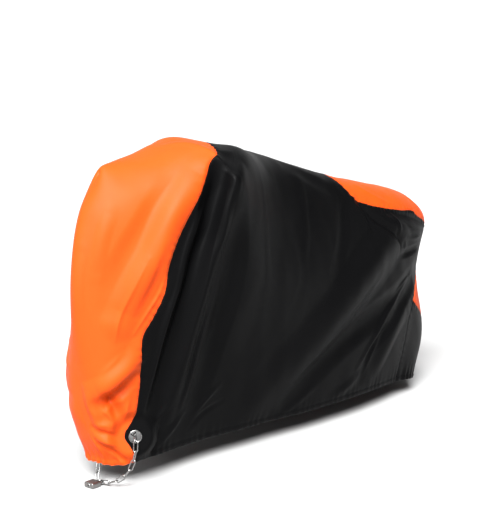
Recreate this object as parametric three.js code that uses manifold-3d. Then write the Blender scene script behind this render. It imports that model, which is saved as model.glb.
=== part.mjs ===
// Fitted outdoor cover for a motorcycle, as it hangs over one, with the lock chain through its eyelet.
// Millimetres. +X is the front, +Y the left side, +Z up. Heights in the tables are above the floor.
// The group is lowered at the end, so that the origin is the point under the top that carries the cover.
import * as THREE from 'three';
import { mergeVertices } from 'three/addons/utils/BufferGeometryUtils.js';
import Module from 'manifold-3d';

const wasm = await Module();
wasm.setup();

// Driving dimensions
const CARRIER_HEIGHT = 1104.4;
const CLOTH = 2;
const SEAM_GAP = 0.44;
const EYELET = { station: 2.18, drop: 3.63, outer: 24, hole: 18, flange: 1.2, gap: 0.36, flat: 54, blend: 100 };
const EYELET_FACING = new THREE.Vector3(0.6, 0.78, 0.12).normalize();
const LINK = { wire: 4, inner: 34.5, width: 18.6, slack: 1.38 };
const LOCK = { width: 44, height: 38, thick: 20, bar: 6.4, spread: 25, reach: 28, socket: 17, grip: 12 };
const LOCK_PLACE = new THREE.Vector3(858, 20, 10.4);

// The cover's shape: one row for each station round the left side, from the front centre to the rear
// centre, and in each row five points from the top line down to the hem. The right side mirrors them.
const SECTIONS = [
  { at: 'front centre', top: [777, 1078], shoulder: [872, 0, 945], hip: [915, 0, 740], knee: [892, 0, 380], hem: [837, 0, 72] },
  { at: 'front quarter', top: [760, 1105], shoulder: [812, 93, 970], hip: [840, 112, 725], knee: [868, 90, 350], hem: [820, 68, 66] },
  { at: 'fairing', top: [650, 1126], shoulder: [640, 185, 1049], hip: [718, 195, 730], knee: [785, 138, 355], hem: [755, 114, 76] },
  { at: 'ahead of bars', top: [520, 1167], shoulder: [500, 258, 1113], hip: [590, 262, 760], knee: [650, 168, 360], hem: [660, 126, 84] },
  { at: 'bar end', top: [430, 1184], shoulder: [447, 332, 1083], hip: [470, 300, 780], knee: [520, 190, 380], hem: [530, 133, 86] },
  { at: 'behind bars', top: [280, 1142], shoulder: [285, 251, 1111], hip: [330, 300, 730], knee: [380, 210, 380], hem: [380, 148, 86] },
  { at: 'tank', top: [50, 1118], shoulder: [50, 169, 1038], hip: [80, 280, 680], knee: [120, 245, 380], hem: [140, 182, 85] },
  { at: 'seat front', top: [-250, 1039], shoulder: [-250, 149, 981], hip: [-220, 270, 640], knee: [-180, 262, 360], hem: [-150, 227, 84] },
  { at: 'seat rear', top: [-550, 973], shoulder: [-550, 154, 909], hip: [-520, 260, 600], knee: [-480, 270, 340], hem: [-450, 250, 84] },
  { at: 'tail', top: [-850, 921], shoulder: [-846, 175, 835], hip: [-800, 228, 560], knee: [-780, 246, 320], hem: [-722, 234, 77] },
  { at: 'rear corner', top: [-1060, 866], shoulder: [-1128, 116, 757], hip: [-998, 160, 535], knee: [-1027, 181, 255], hem: [-908, 213, 58] },
  { at: 'rear centre', top: [-1110, 857], shoulder: [-1205, 0, 740], hip: [-1124, 0, 540], knee: [-1180, 0, 250], hem: [-1040, 0, 55] },
];
const LEVELS = ['top', 'shoulder', 'hip', 'knee', 'hem'];

// The right side hangs a little lower and closer than the left: shifts of the mirrored points.
const RIGHT_SHIFTS = [
  { at: 'front quarter', shoulder: [-23, 31, 4], hip: [-40, 38, 0], knee: [0, 15, 0], hem: [0, 8, 0] },
  { at: 'fairing', shoulder: [0, 57, -20], hip: [-26, 30, 0], knee: [14, -22, 0] },
  { at: 'ahead of bars', shoulder: [-19, 110, -73], hip: [-5, 28, 0] },
  { at: 'bar end', shoulder: [-29, 120, -57], hip: [-1, 20, 0] },
  { at: 'behind bars', shoulder: [-10, 54, -40] },
];

// Seams, as station and drop: drop is 0 on the top line, 1 at the shoulder and 4 at the hem.
const FRONT_SEAM = [
  [4.9, 0], [4.55, 0.3], [4.05, 0.6], [3.4, 0.82], [2.97, 1.0], [2.83, 1.14], [2.68, 1.34], [2.47, 1.53],
  [2.33, 1.71], [2.28, 1.92], [2.33, 2.15], [2.21, 2.35], [2.05, 2.53], [2.19, 2.76], [2.3, 3.01], [2.26, 3.29],
  [2.08, 3.44], [1.79, 3.6], [2.02, 3.8], [2.17, 4],
];
const TAIL_EDGE = [
  [7.57, 0], [7.54, 0.5], [7.69, 0.96], [7.82, 1.11], [8.04, 1.16], [8.36, 1.16], [8.92, 1.11], [9.32, 1.03],
  [9.5, 1.1], [9.85, 1.13], [10.12, 1.22],
];
const TAIL_STRIP = [[10.12, 1.22], [10.2, 1.6], [10.12, 1.95], [9.93, 2.13], [9.6, 2.3], [9.38, 2.53]];
const REAR_EDGE = [[9.38, 2.53], [9.13, 2.9], [9.08, 3.28], [9.06, 3.6], [9.04, 4]];
const REAR_DIP = [[9.38, 2.53], [9.6, 2.62], [9.85, 2.7], [10.3, 2.86], [11, 2.98]];

// Grid lines of the panels
const DROPS = [0, 0.25, 0.5, 0.7, 0.9, 1.1, 1.35, 1.6, 1.85, 2.1, 2.35, 2.54, 2.76, 3.0, 3.29, 3.46, 3.6, 3.8, 4];
const FRONT_COLUMNS = 13;
const TOP_COLUMNS = 20;
const EDGE_COLUMNS = 12;
const TAIL_ROWS = 6;

// Folds of the cloth: a row for each, with its path over the cloth as station and drop, its reach to each
// side and its height in millimetres, which is negative for a valley.
const FOLDS = [
  { name: 'ridge beside the front seam', path: [[2.88, 1.0], [2.6, 1.5], [2.45, 2.0], [2.55, 2.5], [2.42, 3.1]], reach: 34, height: 7 },
  { name: 'valley from the bar end', path: [[3.3, 0.98], [2.95, 1.5], [3.05, 2.0], [2.9, 2.5], [2.75, 3.0], [2.6, 3.5]], reach: 42, height: -15 },
  { name: 'ridge from the bar end', path: [[3.4, 1.2], [3.4, 1.7], [3.48, 2.1], [3.35, 2.5], [3.4, 3.0], [3.1, 3.5]], reach: 40, height: 13 },
  { name: 'second valley', path: [[3.7, 1.25], [3.9, 1.8], [4.0, 2.4], [4.05, 3.0], [3.7, 3.6]], reach: 55, height: -13 },
  { name: 'broad ridge ahead of the tank', path: [[4.5, 1.1], [4.6, 1.8], [4.75, 2.5], [4.9, 3.3]], reach: 75, height: 12 },
  { name: 'faint valley at the tank', path: [[5.5, 1.2], [5.6, 1.9], [5.75, 2.7], [5.7, 3.5]], reach: 80, height: -8 },
  { name: 'crease under the tail', path: [[7.9, 1.2], [8.25, 1.42], [8.6, 1.58], [8.95, 1.66]], reach: 34, height: -14 },
  { name: 'lobe under the tail', path: [[8.3, 1.34], [8.8, 1.4], [9.3, 1.42]], reach: 48, height: 12 },
  { name: 'crease below the tail edge', path: [[7.72, 1.2], [7.5, 1.5], [7.3, 1.85]], reach: 40, height: -8 },
  { name: 'diagonal valley from the waist', path: [[9.6, 1.75], [8.9, 2.05], [8.3, 2.4], [7.8, 2.8], [7.4, 3.3]], reach: 70, height: -20 },
  { name: 'diagonal ridge above it', path: [[9.2, 1.65], [8.4, 1.95], [7.7, 2.3], [7.0, 2.75], [6.3, 3.2]], reach: 95, height: 15 },
  { name: 'diagonal ridge below it', path: [[9.1, 2.35], [8.5, 2.75], [8.1, 3.15], [7.9, 3.55]], reach: 60, height: 12 },
  { name: 'light band of the hood', path: [[2.7, 0.95], [2.2, 1.25], [1.85, 1.6], [1.5, 2.0], [1.2, 2.4]], reach: 75, height: 13 },
  { name: 'dark band of the hood', path: [[2.1, 0.9], [1.7, 1.2], [1.35, 1.6], [1.05, 2.1]], reach: 60, height: -11 },
  { name: 'roll over the tucked front', path: [[1.95, 2.55], [1.65, 2.7], [1.3, 2.78], [0.75, 2.95]], reach: 60, height: 16 },
  { name: 'tuck under the roll', path: [[2.0, 2.95], [1.6, 3.1], [1.2, 3.12], [0.85, 3.1]], reach: 52, height: -17 },
  { name: 'upright ridge at the nose', path: [[0.5, 2.9], [0.55, 3.2], [0.7, 3.45]], reach: 32, height: 10 },
  { name: 'upright ridge right of the nose', path: [[21.4, 1.5], [21.3, 2.3], [21.35, 3.1]], reach: 70, height: 10 },
  { name: 'gather above the hem', path: [[0.75, 3.42], [1.1, 3.6], [1.5, 3.82]], reach: 24, height: 9 },
  { name: 'gather at the front hem', path: [[0.2, 3.5], [0.4, 3.75], [0.7, 4]], reach: 24, height: 7 },
  { name: 'far valley from the bar end', path: [[18.7, 1.0], [19.0, 1.6], [18.9, 2.3], [19.2, 3.2]], reach: 52, height: -14 },
  { name: 'far ridge from the bar end', path: [[18.2, 1.15], [18.2, 1.9], [18.1, 2.7], [18.4, 3.5]], reach: 56, height: 13 },
  { name: 'far valley at the tank', path: [[17.5, 1.2], [17.1, 2.0], [16.9, 2.8], [17.1, 3.6]], reach: 70, height: -11 },
  { name: 'far diagonal valley', path: [[12.5, 1.75], [13.2, 2.15], [13.9, 2.6], [14.7, 3.2]], reach: 75, height: -18 },
  { name: 'far diagonal ridge', path: [[12.9, 1.6], [13.8, 1.95], [14.7, 2.4], [15.6, 3.1]], reach: 95, height: 14 },
  { name: 'far light band of the hood', path: [[19.3, 0.95], [19.9, 1.4], [20.3, 1.9], [20.6, 2.5]], reach: 70, height: 11 },
  { name: 'far tuck at the front', path: [[20.2, 3.0], [20.7, 3.12], [21.1, 3.12]], reach: 50, height: -14 },
  { name: 'valley down the rear', path: [[10.6, 1.7], [10.5, 2.4], [10.7, 3.3]], reach: 60, height: -12 },
];

// Surface of the cover
const SIDE = SECTIONS.length - 1;
const ROUND = 2 * SIDE;

function sectionPoints() {
  const rows = [];
  for (const [i, section] of SECTIONS.entries()) {
    const [x, z] = section.top;
    const left = [new THREE.Vector3(x, 0, z)];
    for (const level of LEVELS.slice(1)) left.push(new THREE.Vector3(...section[level]));
    rows[i] = left;
    if (i === 0 || i === SIDE) continue;
    const shifts = RIGHT_SHIFTS.find((row) => row.at === section.at) ?? {};
    rows[ROUND - i] = left.map((point, k) => {
      const mirrored = point.clone().multiply(new THREE.Vector3(1, -1, 1));
      return mirrored.add(new THREE.Vector3(...(shifts[LEVELS[k]] ?? [0, 0, 0])));
    });
  }
  return rows;
}
const ROWS = sectionPoints();

function catmullRom(a, b, c, d, t) {
  const weights = [
    -0.5 * t ** 3 + t ** 2 - 0.5 * t,
    1.5 * t ** 3 - 2.5 * t ** 2 + 1,
    -1.5 * t ** 3 + 2 * t ** 2 + 0.5 * t,
    0.5 * t ** 3 - 0.5 * t ** 2,
  ];
  const sum = new THREE.Vector3();
  for (const [i, point] of [a, b, c, d].entries()) sum.addScaledVector(point, weights[i]);
  return sum;
}

// Point k of a row, with one more beyond the top line, on the other side, and one below the hem.
function rowPoint(row, k) {
  const r = ((row % ROUND) + ROUND) % ROUND;
  if (k < 0) return ROWS[(ROUND - r) % ROUND][1];
  if (k > 4) return ROWS[r][4].clone().multiplyScalar(2).sub(ROWS[r][3]);
  return ROWS[r][k];
}

function basePoint(station, drop) {
  const row = Math.floor(station);
  const k = Math.min(Math.floor(drop), 3);
  const across = [-1, 0, 1, 2].map((m) => {
    const along = [-1, 0, 1, 2].map((n) => rowPoint(row + n, k + m));
    return catmullRom(...along, station - row);
  });
  return catmullRom(...across, drop - k);
}

function baseNormal(station, drop) {
  const step = 0.02;
  const d = Math.max(drop, 0.06);
  const down = basePoint(station, d + step).sub(basePoint(station, d - step));
  const round = basePoint(station + step, d).sub(basePoint(station - step, d));
  return down.cross(round).normalize();
}

// Distance from a point to a path of points, and how far along the path the closest point lies, 0 to 1.
function nearestOnPath(point, path) {
  let best = { distance: Infinity, along: 0 };
  const step = 1 / (path.length - 1);
  const closest = new THREE.Vector3();
  for (let i = 0; i + 1 < path.length; i += 1) {
    const line = new THREE.Line3(path[i], path[i + 1]);
    const t = line.closestPointToPointParameter(point, true);
    const distance = line.at(t, closest).distanceTo(point);
    if (distance < best.distance) best = { distance, along: (i + t) * step };
  }
  return best;
}

// A path over the cloth, through points given as station and drop
function clothPath(corners, perSpan = 4) {
  const points = [];
  for (let i = 0; i + 1 < corners.length; i += 1) {
    for (let j = 0; j < perSpan; j += 1) {
      const t = j / perSpan;
      const station = corners[i][0] + (corners[i + 1][0] - corners[i][0]) * t;
      const drop = corners[i][1] + (corners[i + 1][1] - corners[i][1]) * t;
      points.push(basePoint(station, drop));
    }
  }
  points.push(basePoint(...corners.at(-1)));
  return points;
}

const FOLD_PATHS = FOLDS.map((fold) => ({ ...fold, points: clothPath(fold.path) }));

function foldHeight(point) {
  let height = 0;
  for (const fold of FOLD_PATHS) {
    const { distance, along } = nearestOnPath(point, fold.points);
    if (distance >= fold.reach) continue;
    const across = (1 - (distance / fold.reach) ** 2) ** 2;
    const ends = Math.sin(Math.PI * Math.min(Math.max(along, 0.06), 0.94)) ** 0.7;
    height += fold.height * across * ends;
  }
  return height;
}

// The eyelet's place, in a flat patch of the cloth
const EYELET_CENTRE = basePoint(EYELET.station, EYELET.drop);

function clothPoint(station, drop) {
  const point = basePoint(station, drop);
  point.addScaledVector(baseNormal(station, drop), foldHeight(point));
  const away = point.clone().sub(EYELET_CENTRE);
  const off = away.dot(EYELET_FACING);
  if (Math.abs(off) > EYELET.flat) return point;
  const inPlane = away.addScaledVector(EYELET_FACING, -off).length();
  const blend = THREE.MathUtils.smoothstep(inPlane, EYELET.flat, EYELET.blend);
  return point.addScaledVector(EYELET_FACING, -off * (1 - blend));
}

// Seam lines by drop or by share of their length
function stationAt(seam, drop) {
  for (let i = 0; i + 1 < seam.length; i += 1) {
    const [s0, d0] = seam[i];
    const [s1, d1] = seam[i + 1];
    if (drop <= d1) return s0 + ((s1 - s0) * (drop - d0)) / (d1 - d0);
  }
  return seam.at(-1)[0];
}

function alongSeam(seam, share) {
  const at = share * (seam.length - 1);
  const i = Math.min(Math.floor(at), seam.length - 2);
  const t = at - i;
  return [0, 1].map((c) => seam[i][c] + (seam[i + 1][c] - seam[i][c]) * t);
}

// The seams as lists of grid points, shared by the panels on both sides of each
const spread = (count) => Array.from({ length: count + 1 }, (_, i) => i / count);
const mix = (a, b, t) => [a[0] + (b[0] - a[0]) * t, a[1] + (b[1] - a[1]) * t];
const frontSeam = DROPS.map((drop) => [stationAt(FRONT_SEAM, drop), drop]);
const tailEdge = spread(EDGE_COLUMNS).map((t) => alongSeam(TAIL_EDGE, t));
const topLine = spread(TOP_COLUMNS).map((t) => [4.9 + (7.57 - 4.9) * t, 0]);
const stripRows = 7;
const tailStrip = spread(stripRows).map((t) => alongSeam(TAIL_STRIP, t));
const rearEdge = spread(DROPS.length - 1 - stripRows).map((t) => alongSeam(REAR_EDGE, t));
const rearDip = spread(TAIL_ROWS).map((t) => alongSeam(REAR_DIP, t));

// Grids of station and drop: rows run down, columns run back
function frontGrid() {
  return frontSeam.map(([station, drop]) => spread(FRONT_COLUMNS).map((t) => [station * t, drop]));
}

function sideGrid() {
  const top = [...topLine, ...tailEdge.slice(1)];
  const rear = [...tailStrip, ...rearEdge.slice(1)];
  const columns = top.length - 1;
  const hem = top.map((_, i) => mix(frontSeam.at(-1), rear.at(-1), i / columns));
  return frontSeam.map((front, j) => {
    const v = j / (frontSeam.length - 1);
    const back = rear[j];
    return top.map((upper, i) => {
      const u = i / columns;
      const ruled = mix(upper, hem[i], v);
      const across = mix(front, back, u);
      const corners = mix(mix(top[0], top[columns], u), mix(hem[0], hem[columns], u), v);
      return [ruled[0] + across[0] - corners[0], ruled[1] + across[1] - corners[1]];
    });
  });
}

function tailGrid() {
  const outer = [...tailEdge, ...tailStrip.slice(1)];
  const share = EDGE_COLUMNS / (outer.length - 1);
  const inner = outer.map((_, i) => {
    const t = i / (outer.length - 1);
    if (t <= share) return [7.57 + (SIDE - 7.57) * (t / share), 0];
    return [SIDE, (rearDip.at(-1)[1] * (t - share)) / (1 - share)];
  });
  return outer.map((edge, i) => {
    if (i === outer.length - 1) return rearDip;
    return spread(TAIL_ROWS).map((t) => mix(edge, inner[i], t));
  });
}

function rearGrid() {
  return rearEdge.map((edge, j) => {
    const t = j / (rearEdge.length - 1);
    const centre = mix(rearDip.at(-1), [SIDE, 4], t);
    return rearDip.map((dip, i) => {
      const level = mix(edge, centre, i / TAIL_ROWS);
      const straight = mix(rearDip[0], rearDip.at(-1), i / TAIL_ROWS);
      return [0, 1].map((c) => level[c] + (1 - t) * (dip[c] - straight[c]));
    });
  });
}

const mirrorGrid = (grid) => grid.map((row) => row.map(([s, d]) => [(ROUND - s) % ROUND, d]));

// One welded sheet for the whole cover, each triangle marked with its panel
const sheet = { points: [], keys: new Map(), faces: [], facing: [] };

function weld([station, drop]) {
  const s = drop === 0 && station > SIDE ? ROUND - station : station;
  const key = `${s.toFixed(5)} ${drop.toFixed(5)}`;
  if (!sheet.keys.has(key)) {
    sheet.keys.set(key, sheet.points.length);
    sheet.points.push(clothPoint(s, drop));
    sheet.facing.push(baseNormal(s, drop));
  }
  return sheet.keys.get(key);
}

function addFace(panel, a, b, c) {
  if (a === b || b === c || c === a) return;
  const [p, q, r] = [a, b, c].map((i) => sheet.points[i]);
  const normal = q.clone().sub(p).cross(r.clone().sub(p));
  const outward = [a, b, c].reduce((sum, i) => sum.add(sheet.facing[i]), new THREE.Vector3());
  const corners = normal.dot(outward) > 0 ? [a, b, c] : [a, c, b];
  sheet.faces.push({ panel, corners });
}

function addGrid(panel, grid) {
  const ids = grid.map((row) => row.map(weld));
  for (let j = 0; j + 1 < grid.length; j += 1) {
    for (let i = 0; i + 1 < grid[j].length; i += 1) {
      const [a, b, c, d] = [ids[j][i], ids[j][i + 1], ids[j + 1][i + 1], ids[j + 1][i]];
      const p = sheet.points;
      if (p[a].distanceTo(p[c]) <= p[b].distanceTo(p[d])) {
        addFace(panel, a, b, c);
        addFace(panel, a, c, d);
      } else {
        addFace(panel, a, b, d);
        addFace(panel, b, c, d);
      }
    }
  }
}

addGrid('front_panel', frontGrid());
addGrid('front_panel', mirrorGrid(frontGrid()));
addGrid('side_panel_left', sideGrid());
addGrid('side_panel_right', mirrorGrid(sideGrid()));
addGrid('tail_panel', tailGrid());
addGrid('tail_panel', mirrorGrid(tailGrid()));
addGrid('rear_panel', rearGrid());
addGrid('rear_panel', mirrorGrid(rearGrid()));

const faceNormal = ([a, b, c]) => {
  const p = sheet.points;
  return p[b].clone().sub(p[a]).cross(p[c].clone().sub(p[a]));
};
const normals = sheet.points.map(() => new THREE.Vector3());
for (const { corners } of sheet.faces) {
  const normal = faceNormal(corners);
  for (const i of corners) normals[i].add(normal);
}
for (const normal of normals) normal.normalize();

const edgeKey = (a, b) => `${a}_${b}`;
const allEdges = new Set();
for (const { corners: [a, b, c] } of sheet.faces) {
  for (const key of [edgeKey(a, b), edgeKey(b, c), edgeKey(c, a)]) allEdges.add(key);
}

// A panel's own closed shell: its sheet, pulled back from the seams, and the same sheet one cloth deeper
function panelShell(panel) {
  const faces = sheet.faces.filter((face) => face.panel === panel).map((face) => face.corners);
  const edges = new Set();
  for (const [a, b, c] of faces) {
    for (const key of [edgeKey(a, b), edgeKey(b, c), edgeKey(c, a)]) edges.add(key);
  }
  const rim = [];
  const inward = new Map();
  for (const [a, b, c] of faces) {
    for (const [from, to] of [[a, b], [b, c], [c, a]]) {
      if (edges.has(edgeKey(to, from))) continue;
      rim.push([from, to]);
      const along = sheet.points[to].clone().sub(sheet.points[from]).normalize();
      const isSeam = allEdges.has(edgeKey(to, from));
      for (const i of [from, to]) {
        const side = normals[i].clone().cross(along).normalize();
        inward.set(i, [...(inward.get(i) ?? []), { side, along, isSeam }]);
      }
    }
  }
  const local = new Map();
  const outer = [];
  const inner = [];
  for (const i of faces.flat()) {
    if (local.has(i)) continue;
    local.set(i, outer.length);
    const point = sheet.points[i].clone().add(pullBack(inward.get(i) ?? []));
    outer.push(point);
    inner.push(point.clone().addScaledVector(normals[i], -CLOTH));
  }
  const count = outer.length;
  const triangles = [];
  for (const corners of faces) {
    const [a, b, c] = corners.map((i) => local.get(i));
    triangles.push([a, b, c], [count + a, count + c, count + b]);
  }
  for (const [from, to] of rim) {
    const [a, b] = [local.get(from), local.get(to)];
    // Both panels of a seam split its faces along the same diagonal.
    if (from < to) triangles.push([b, a, count + b], [a, count + a, count + b]);
    else triangles.push([b, a, count + a], [b, count + a, count + b]);
  }
  return toGeometry([...outer, ...inner], triangles);
}

function pullBack(sides) {
  const seams = sides.filter((side) => side.isSeam);
  if (!seams.length) return new THREE.Vector3();
  if (seams.length === sides.length) {
    const sum = seams.reduce((total, { side }) => total.add(side), new THREE.Vector3());
    const reach = sum.lengthSq() / seams.length;
    return sum.multiplyScalar(SEAM_GAP / 2 / Math.max(reach, 0.5));
  }
  const hem = sides.find((side) => !side.isSeam);
  const lean = hem.along.dot(seams[0].side);
  return hem.along.clone().multiplyScalar(SEAM_GAP / 2 / lean);
}

function toGeometry(points, triangles) {
  const geometry = new THREE.BufferGeometry();
  const positions = points.flatMap((point) => point.toArray());
  geometry.setAttribute('position', new THREE.Float32BufferAttribute(positions, 3));
  geometry.setIndex(triangles.flat());
  return geometry;
}

function welded(geometry) {
  const bare = geometry.clone();
  bare.deleteAttribute('normal');
  bare.deleteAttribute('uv');
  return mergeVertices(bare, 1e-3);
}

// Solids for cuts and joins
function toSolid(geometry) {
  const merged = welded(geometry);
  return new wasm.Manifold(new wasm.Mesh({
    numProp: 3,
    vertProperties: new Float32Array(merged.attributes.position.array),
    triVerts: new Uint32Array(merged.index.array),
  }));
}

function fromSolid(solid) {
  const { numProp, vertProperties, triVerts } = solid.getMesh();
  const geometry = new THREE.BufferGeometry();
  const positions = [];
  for (let i = 0; i < vertProperties.length; i += numProp) positions.push(...vertProperties.slice(i, i + 3));
  geometry.setAttribute('position', new THREE.Float32BufferAttribute(positions, 3));
  geometry.setIndex([...triVerts]);
  return geometry;
}

// A body turned about Z, laid with its axis along the eyelet's facing
function atEyelet(geometry) {
  const turn = new THREE.Quaternion().setFromUnitVectors(new THREE.Vector3(0, 0, 1), EYELET_FACING);
  return geometry.applyQuaternion(turn).translate(...EYELET_CENTRE.toArray());
}

// Eyelet: a barrel through the cloth with a flange on each face
function eyeletGeometry() {
  const { outer, hole, flange, gap } = EYELET;
  const back = -CLOTH - gap;
  const barrel = hole + 1.3;
  const profile = [
    [hole, gap + flange * 0.6], [hole, back - flange * 0.6], [hole + 1, back - flange], [outer - 1, back - flange],
    [outer, back], [barrel, back], [barrel, gap], [outer, gap], [outer, gap + 0.4], [outer - 1.2, gap + flange],
    [hole + 1, gap + flange], [hole, gap + flange * 0.6],
  ];
  const points = profile.map(([radius, height]) => new THREE.Vector2(radius, height));
  return atEyelet(welded(new THREE.LatheGeometry(points, 24).rotateX(Math.PI / 2)));
}

function cutForEyelet(shell) {
  const radius = EYELET.hole + 1.8;
  const punch = new THREE.CylinderGeometry(radius, radius, 30, 24).rotateX(Math.PI / 2);
  return fromSolid(toSolid(shell).subtract(toSolid(atEyelet(punch))));
}

// Chain links: a ring with its two halves moved apart
function linkGeometry() {
  const steps = 12;
  const bend = LINK.width / 2 - LINK.wire / 2;
  const straight = (LINK.inner + LINK.wire) / 2 - bend;
  const geometry = new THREE.TorusGeometry(bend, LINK.wire / 2, 6, steps).rotateZ(Math.PI / steps);
  const position = geometry.attributes.position;
  for (let i = 0; i < position.count; i += 1) {
    position.setY(i, position.getY(i) + Math.sign(position.getY(i)) * straight);
  }
  return welded(geometry);
}

// Joints of a hanging run: equal steps from one end to the other on a bow whose depth is found by halving
function hangRun(from, to, count, sag) {
  const pitch = LINK.inner - LINK.slack;
  const bow = (depth, t) => from.clone().lerp(to, t).addScaledVector(sag, depth * Math.sin(Math.PI * t) ** 0.8);
  const walk = (depth) => {
    const joints = [from.clone()];
    let t = 0;
    for (let i = 0; i < count; i += 1) {
      const last = joints.at(-1);
      while (t < 1.5 && bow(depth, Math.min(t, 1)).distanceTo(last) < pitch) {
        t += 0.0005;
        if (t > 1) break;
      }
      joints.push(bow(depth, Math.min(t, 1)));
    }
    return { joints, short: t > 1 ? 1 : t };
  };
  let [low, high] = [0, pitch * count];
  for (let i = 0; i < 30; i += 1) {
    const middle = (low + high) / 2;
    if (walk(middle).short >= 1) low = middle;
    else high = middle;
  }
  const { joints } = walk(high);
  joints[count] = to.clone();
  return joints;
}

const material = (color, roughness, metalness) => new THREE.MeshStandardMaterial({ color, roughness, metalness });
const orangeCloth = material(0xf07a2c, 0.62, 0);
const blackCloth = material(0x1c1c1e, 0.6, 0);
const plated = material(0xc9c9c6, 0.3, 1);
const brushed = material(0x9a9a98, 0.42, 1);

const cover = new THREE.Group();

function addMesh(name, geometry, look) {
  const mesh = new THREE.Mesh(geometry, look);
  mesh.name = name;
  cover.add(mesh);
  return mesh;
}

addMesh('front_panel', panelShell('front_panel'), orangeCloth);
addMesh('side_panel_left', cutForEyelet(panelShell('side_panel_left')), blackCloth);
addMesh('side_panel_right', panelShell('side_panel_right'), blackCloth);
addMesh('tail_panel', panelShell('tail_panel'), orangeCloth);
addMesh('rear_panel', panelShell('rear_panel'), blackCloth);
addMesh('eyelet', eyeletGeometry(), plated);

// The chain: from one leg of the shackle up to the left eyelet, through it, and down inside to the other leg
const OUTSIDE_LINKS = 7;
const INSIDE_LINKS = 9;
const THREAD = { tilt: 0.6, rise: 3.5, slack: 2.1 };

function threadJoints() {
  const along = EYELET_FACING.clone().setZ(-THREAD.tilt).normalize();
  const seat = EYELET_CENTRE.clone().add(new THREE.Vector3(0, 0, LINK.width / 2 - EYELET.hole + THREAD.rise));
  seat.addScaledVector(EYELET_FACING, -CLOTH / 2);
  const half = (LINK.inner - THREAD.slack) / 2;
  return [seat.clone().addScaledVector(along, half), seat.clone().addScaledVector(along, -half)];
}

// Where the last joint of a run lies that pulls on a leg of the shackle from one direction
function lockHook(sign, pull) {
  const x = LOCK_PLACE.x - LOCK.height / 2 - LOCK.grip;
  const leg = new THREE.Vector3(x, LOCK_PLACE.y + (sign * LOCK.spread) / 2, LOCK_PLACE.z);
  return leg.addScaledVector(pull, -(LOCK.bar / 2 + 1.2 - LINK.slack / 2));
}

const [threadOut, threadIn] = threadJoints();
const outsideSag = new THREE.Vector3(0, 0.6, -0.5).normalize();
const insideSag = new THREE.Vector3(-0.27, -0.63, 0.76).normalize();
const outside = hangRun(threadOut, lockHook(1, new THREE.Vector3(0, 1, 0)), OUTSIDE_LINKS, outsideSag);
const inside = hangRun(threadIn, lockHook(-1, new THREE.Vector3(0, 0, 1)), INSIDE_LINKS, insideSag);

// Links from joint to joint, each a quarter turn from the last. Beyond the threading link a little more or
// less, so that the last link stands square to the shackle like the first.
function layLinks(joints, square) {
  const links = [];
  let across = square;
  for (let i = 0; i + 1 < joints.length; i += 1) {
    const along = joints[i + 1].clone().sub(joints[i]).normalize();
    across = across.clone().addScaledVector(along, -across.dot(along)).normalize();
    links.push({ along, across, centre: joints[i].clone().lerp(joints[i + 1], 0.5) });
  }
  const last = links.at(-1);
  const count = links.length - 1;
  const ahead = Math.atan2(last.along.dot(last.across.clone().cross(square)), last.across.dot(square));
  const half = Math.PI / 2;
  const left = ahead - count * half;
  const more = (left - Math.round(left / Math.PI) * Math.PI) / (count - OUTSIDE_LINKS);
  for (const [i, { along, across: level, centre }] of links.entries()) {
    const roll = i * half + Math.max(0, i - OUTSIDE_LINKS) * more;
    const normal = level.clone().applyAxisAngle(along, roll);
    const turn = new THREE.Matrix4().makeBasis(along.clone().cross(normal), along, normal);
    const mesh = addMesh(`chain_link_${String(i + 1).padStart(2, '0')}`, linkGeometry(), plated);
    mesh.setRotationFromMatrix(turn);
    mesh.position.copy(centre);
  }
}

layLinks([...outside.reverse(), ...inside], new THREE.Vector3(1, 0, 0));

// Padlock: a laid body with two sockets, and the shackle whose legs stand in them
function lockBody() {
  const { width, height, thick, bar, spread: between, socket } = LOCK;
  const round = 5;
  const bevel = 1.5;
  const outline = new THREE.Shape();
  const [w, t] = [width / 2 - bevel, thick / 2 - bevel];
  outline.moveTo(-w + round, -t).lineTo(w - round, -t);
  outline.absarc(w - round, -t + round, round, -Math.PI / 2, 0);
  outline.absarc(w - round, t - round, round, 0, Math.PI / 2);
  outline.absarc(-w + round, t - round, round, Math.PI / 2, Math.PI);
  outline.absarc(-w + round, -t + round, round, Math.PI, 1.5 * Math.PI);
  const depth = height - 2 * bevel;
  const options = { depth, bevelEnabled: true, bevelSize: bevel, bevelThickness: bevel, bevelSegments: 1, curveSegments: 4 };
  const block = new THREE.ExtrudeGeometry(outline, options).translate(0, 0, -depth / 2);
  const basis = new THREE.Matrix4().makeBasis(
    new THREE.Vector3(0, 1, 0), new THREE.Vector3(0, 0, 1), new THREE.Vector3(1, 0, 0),
  );
  let solid = toSolid(block.applyMatrix4(basis));
  for (const sign of [-1, 1]) {
    const radius = bar / 2 + 0.5;
    const drill = new THREE.CylinderGeometry(radius, radius, socket * 2, 12).rotateZ(Math.PI / 2);
    solid = solid.subtract(toSolid(drill.translate(-height / 2, (sign * between) / 2, 0)));
  }
  return fromSolid(solid).translate(...LOCK_PLACE.toArray());
}

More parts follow.
